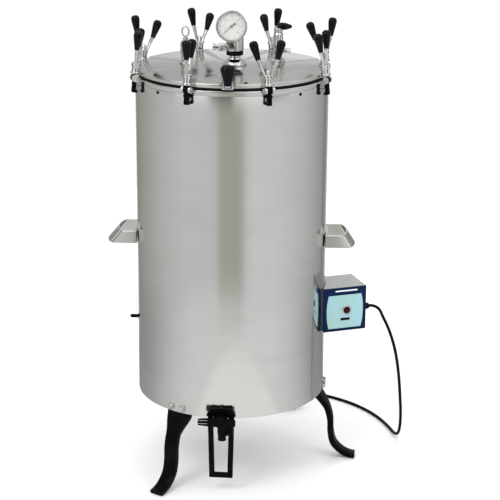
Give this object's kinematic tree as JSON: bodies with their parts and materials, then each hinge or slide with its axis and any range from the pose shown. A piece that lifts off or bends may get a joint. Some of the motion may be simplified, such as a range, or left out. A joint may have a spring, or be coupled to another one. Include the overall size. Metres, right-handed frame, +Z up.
{
  "type": "autoclave",
  "caption": "Vertical pressure steriliser: polished steel vessel on three black legs, wing-nut lid with gauge and valves, side handles, control box, drain cock.",
  "frame": {"origin": "on the floor, under the middle of the bounding box of everything but the mains lead", "axes": "+Z up along the vessel, -Y out of the front with the drain cock, +X to the control box"},
  "size_m": [0.6409, 0.5934, 0.9804],
  "materials": {
    "stainless": "mirror polished",
    "stainless_inner": "satin",
    "chrome": "polished",
    "black_paint": "semi-gloss enamel",
    "phenolic": "moulded gloss",
    "rubber": "matte",
    "cord_sheath": "satin sheath",
    "dial": "printed enamel",
    "gauge_glass": "clear",
    "box_paint": "powder coat",
    "box_panel": "printed overlay",
    "lamp_lens": "translucent lens",
    "switch_plastic": "moulded"
  },
  "bodies": {
    "vessel": {"outer_shell": "stainless", "top_ring": "stainless", "inner_chamber": "stainless_inner", "bottom_cover": "stainless_inner", "heater": "stainless_inner", "basket_stand": "stainless_inner", "basket": "stainless_inner", "basket_bail": "stainless_inner", "side_handle_right": "stainless", "side_handle_left": "stainless", "leg_front_left": "black_paint", "leg_right": "black_paint", "leg_rear": "black_paint", "outlet_stub": "black_paint", "drain_pipe": "stainless_inner", "drain_valve_body": "black_paint", "drain_guard": "black_paint", "control_box": "box_paint", "control_panel": "box_panel", "pilot_lamp": "lamp_lens", "cable_gland": "rubber", "mains_cable": "cord_sheath", "cable_coil": "cord_sheath", "mains_plug": "cord_sheath"},
    "lid": {"lid": "stainless", "lid_gasket": "rubber", "lid_knob_front": "phenolic", "lid_knob_rear": "phenolic", "gauge_boss": "chrome", "boss_washer": "rubber", "gauge_stem": "chrome", "gauge_case": "chrome", "gauge_dial": "dial", "gauge_glass": "gauge_glass", "safety_valve_body": "chrome", "release_valve_body": "chrome"},
    "hook_1": {"hook_bolt_1": "black_paint"},
    "nut_1": {"wing_nut_1": "chrome"},
    "hook_2": {"hook_bolt_2": "black_paint"},
    "nut_2": {"wing_nut_2": "chrome"},
    "hook_3": {"hook_bolt_3": "black_paint"},
    "nut_3": {"wing_nut_3": "chrome"},
    "hook_4": {"hook_bolt_4": "black_paint"},
    "nut_4": {"wing_nut_4": "chrome"},
    "hook_5": {"hook_bolt_5": "black_paint"},
    "nut_5": {"wing_nut_5": "chrome"},
    "hook_6": {"hook_bolt_6": "black_paint"},
    "nut_6": {"wing_nut_6": "chrome"},
    "hook_7": {"hook_bolt_7": "black_paint"},
    "nut_7": {"wing_nut_7": "chrome"},
    "hook_8": {"hook_bolt_8": "black_paint"},
    "nut_8": {"wing_nut_8": "chrome"},
    "safety_ring": {"safety_valve_ring": "chrome"},
    "release_lever": {"release_valve_lever": "phenolic"},
    "pointer": {"gauge_pointer": "black_paint"},
    "drain_lever": {"drain_valve_lever": "black_paint"},
    "switch": {"power_switch": "switch_plastic"}
  },
  "joints": [
    {"name": "lid_lift", "type": "slide", "parent": "vessel", "child": "lid", "axis": [0, 0, 1], "range_m": [0, 0.45]},
    {"name": "hook_1_rock", "type": "hinge", "parent": "lid", "child": "hook_1", "pos_m": [0.06292, -0.19676, 0.8505], "axis": [0.9239, 0.3827, 0], "range_deg": [0, 7]},
    {"name": "nut_1_turn", "type": "hinge", "parent": "hook_1", "child": "nut_1", "pos_m": [0.06292, -0.19676, 0.8505], "axis": [-0.0466, 0.1126, 0.9925], "continuous": true},
    {"name": "hook_2_rock", "type": "hinge", "parent": "lid", "child": "hook_2", "pos_m": [0.17603, -0.08365, 0.8505], "axis": [0.3827, 0.9239, 0], "range_deg": [0, 7]},
    {"name": "nut_2_turn", "type": "hinge", "parent": "hook_2", "child": "nut_2", "pos_m": [0.17603, -0.08365, 0.8505], "axis": [-0.1126, 0.0466, 0.9925], "continuous": true},
    {"name": "hook_3_rock", "type": "hinge", "parent": "lid", "child": "hook_3", "pos_m": [0.17603, 0.07632, 0.8505], "axis": [-0.3827, 0.9239, 0], "range_deg": [0, 7]},
    {"name": "nut_3_turn", "type": "hinge", "parent": "hook_3", "child": "nut_3", "pos_m": [0.17603, 0.07632, 0.8505], "axis": [-0.1126, -0.0466, 0.9925], "continuous": true},
    {"name": "hook_4_rock", "type": "hinge", "parent": "lid", "child": "hook_4", "pos_m": [0.06292, 0.18943, 0.8505], "axis": [-0.9239, 0.3827, 0], "range_deg": [0, 7]},
    {"name": "nut_4_turn", "type": "hinge", "parent": "hook_4", "child": "nut_4", "pos_m": [0.06292, 0.18943, 0.8505], "axis": [-0.0466, -0.1126, 0.9925], "continuous": true},
    {"name": "hook_5_rock", "type": "hinge", "parent": "lid", "child": "hook_5", "pos_m": [-0.09704, 0.18943, 0.8505], "axis": [-0.9239, -0.3827, 0], "range_deg": [0, 7]},
    {"name": "nut_5_turn", "type": "hinge", "parent": "hook_5", "child": "nut_5", "pos_m": [-0.09704, 0.18943, 0.8505], "axis": [0.0466, -0.1126, 0.9925], "continuous": true},
    {"name": "hook_6_rock", "type": "hinge", "parent": "lid", "child": "hook_6", "pos_m": [-0.21015, 0.07632, 0.8505], "axis": [-0.3827, -0.9239, 0], "range_deg": [0, 7]},
    {"name": "nut_6_turn", "type": "hinge", "parent": "hook_6", "child": "nut_6", "pos_m": [-0.21015, 0.07632, 0.8505], "axis": [0.1126, -0.0466, 0.9925], "continuous": true},
    {"name": "hook_7_rock", "type": "hinge", "parent": "lid", "child": "hook_7", "pos_m": [-0.21015, -0.08365, 0.8505], "axis": [0.3827, -0.9239, 0], "range_deg": [0, 7]},
    {"name": "nut_7_turn", "type": "hinge", "parent": "hook_7", "child": "nut_7", "pos_m": [-0.21015, -0.08365, 0.8505], "axis": [0.1126, 0.0466, 0.9925], "continuous": true},
    {"name": "hook_8_rock", "type": "hinge", "parent": "lid", "child": "hook_8", "pos_m": [-0.09704, -0.19676, 0.8505], "axis": [0.9239, -0.3827, 0], "range_deg": [0, 7]},
    {"name": "nut_8_turn", "type": "hinge", "parent": "hook_8", "child": "nut_8", "pos_m": [-0.09704, -0.19676, 0.8505], "axis": [0.0466, 0.1126, 0.9925], "continuous": true},
    {"name": "safety_valve_pull", "type": "slide", "parent": "lid", "child": "safety_ring", "axis": [0, 0, 1], "range_m": [0, 0.004], "stiffness_N_per_m": 1500, "springref_m": -0.004},
    {"name": "release_valve_turn", "type": "hinge", "parent": "lid", "child": "release_lever", "pos_m": [0.07694, 0.02033, 0.935], "axis": [0, 0, 1], "range_deg": [0, 90]},
    {"name": "gauge_pointer_turn", "type": "hinge", "parent": "lid", "child": "pointer", "pos_m": [-0.01706, -0.04167, 0.9484], "axis": [0, 1, 0], "range_deg": [0, 270], "stiffness_Nm_per_rad": 0.001, "springref_deg": -17.19},
    {"name": "drain_valve_turn", "type": "hinge", "parent": "vessel", "child": "drain_lever", "pos_m": [-0.0307, -0.23326, 0.164], "axis": [-0.0593, -0.9982, 0], "range_deg": [0, 90]},
    {"name": "power_switch_rock", "type": "hinge", "parent": "vessel", "child": "switch", "pos_m": [0.22645, -0.04171, 0.3275], "axis": [0.9367, 0.3502, 0], "range_deg": [-16, 0]}
  ]
}
